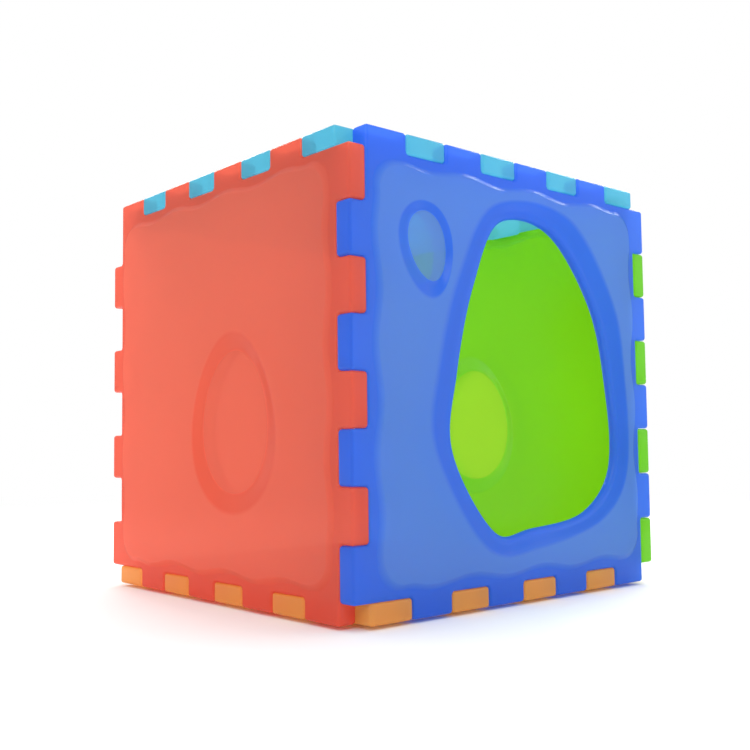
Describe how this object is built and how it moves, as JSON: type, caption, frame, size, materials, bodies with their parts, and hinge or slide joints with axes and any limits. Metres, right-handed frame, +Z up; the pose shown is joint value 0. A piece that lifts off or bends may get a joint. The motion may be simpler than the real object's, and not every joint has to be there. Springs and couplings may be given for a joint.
{
  "type": "play cube",
  "caption": "Crawl-in play cube of interlocking hollow plastic panels with finger teeth, an organic doorway in front, oval windows and an open back.",
  "frame": {"origin": "centre of the bounding box at the floor, on the raised field under the base panel", "axes": "+Z up, front doorway panel faces -Y, open back faces +Y, +X to the right seen from the front"},
  "size_m": [0.802, 0.796, 0.802],
  "materials": {
    "orange_plastic": "translucent satin",
    "blue_plastic": "translucent satin",
    "red_plastic": "translucent satin",
    "green_plastic": "translucent satin",
    "cyan_plastic": "translucent satin"
  },
  "bodies": {
    "base": {"base_panel": "orange_plastic"},
    "front": {"front_panel": "blue_plastic"},
    "left": {"left_panel": "red_plastic"},
    "right": {"right_panel": "green_plastic"},
    "top": {"top_panel": "cyan_plastic"}
  },
  "joints": [
    {"name": "front_pull", "type": "slide", "parent": "base", "child": "front", "axis": [0, -1, 0], "range_m": [0, 0.12]},
    {"name": "left_pull", "type": "slide", "parent": "base", "child": "left", "axis": [-1, 0, 0], "range_m": [0, 0.12]},
    {"name": "right_pull", "type": "slide", "parent": "base", "child": "right", "axis": [1, 0, 0], "range_m": [0, 0.12]},
    {"name": "top_lift", "type": "slide", "parent": "base", "child": "top", "axis": [0, 0, 1], "range_m": [0, 0.12]}
  ]
}
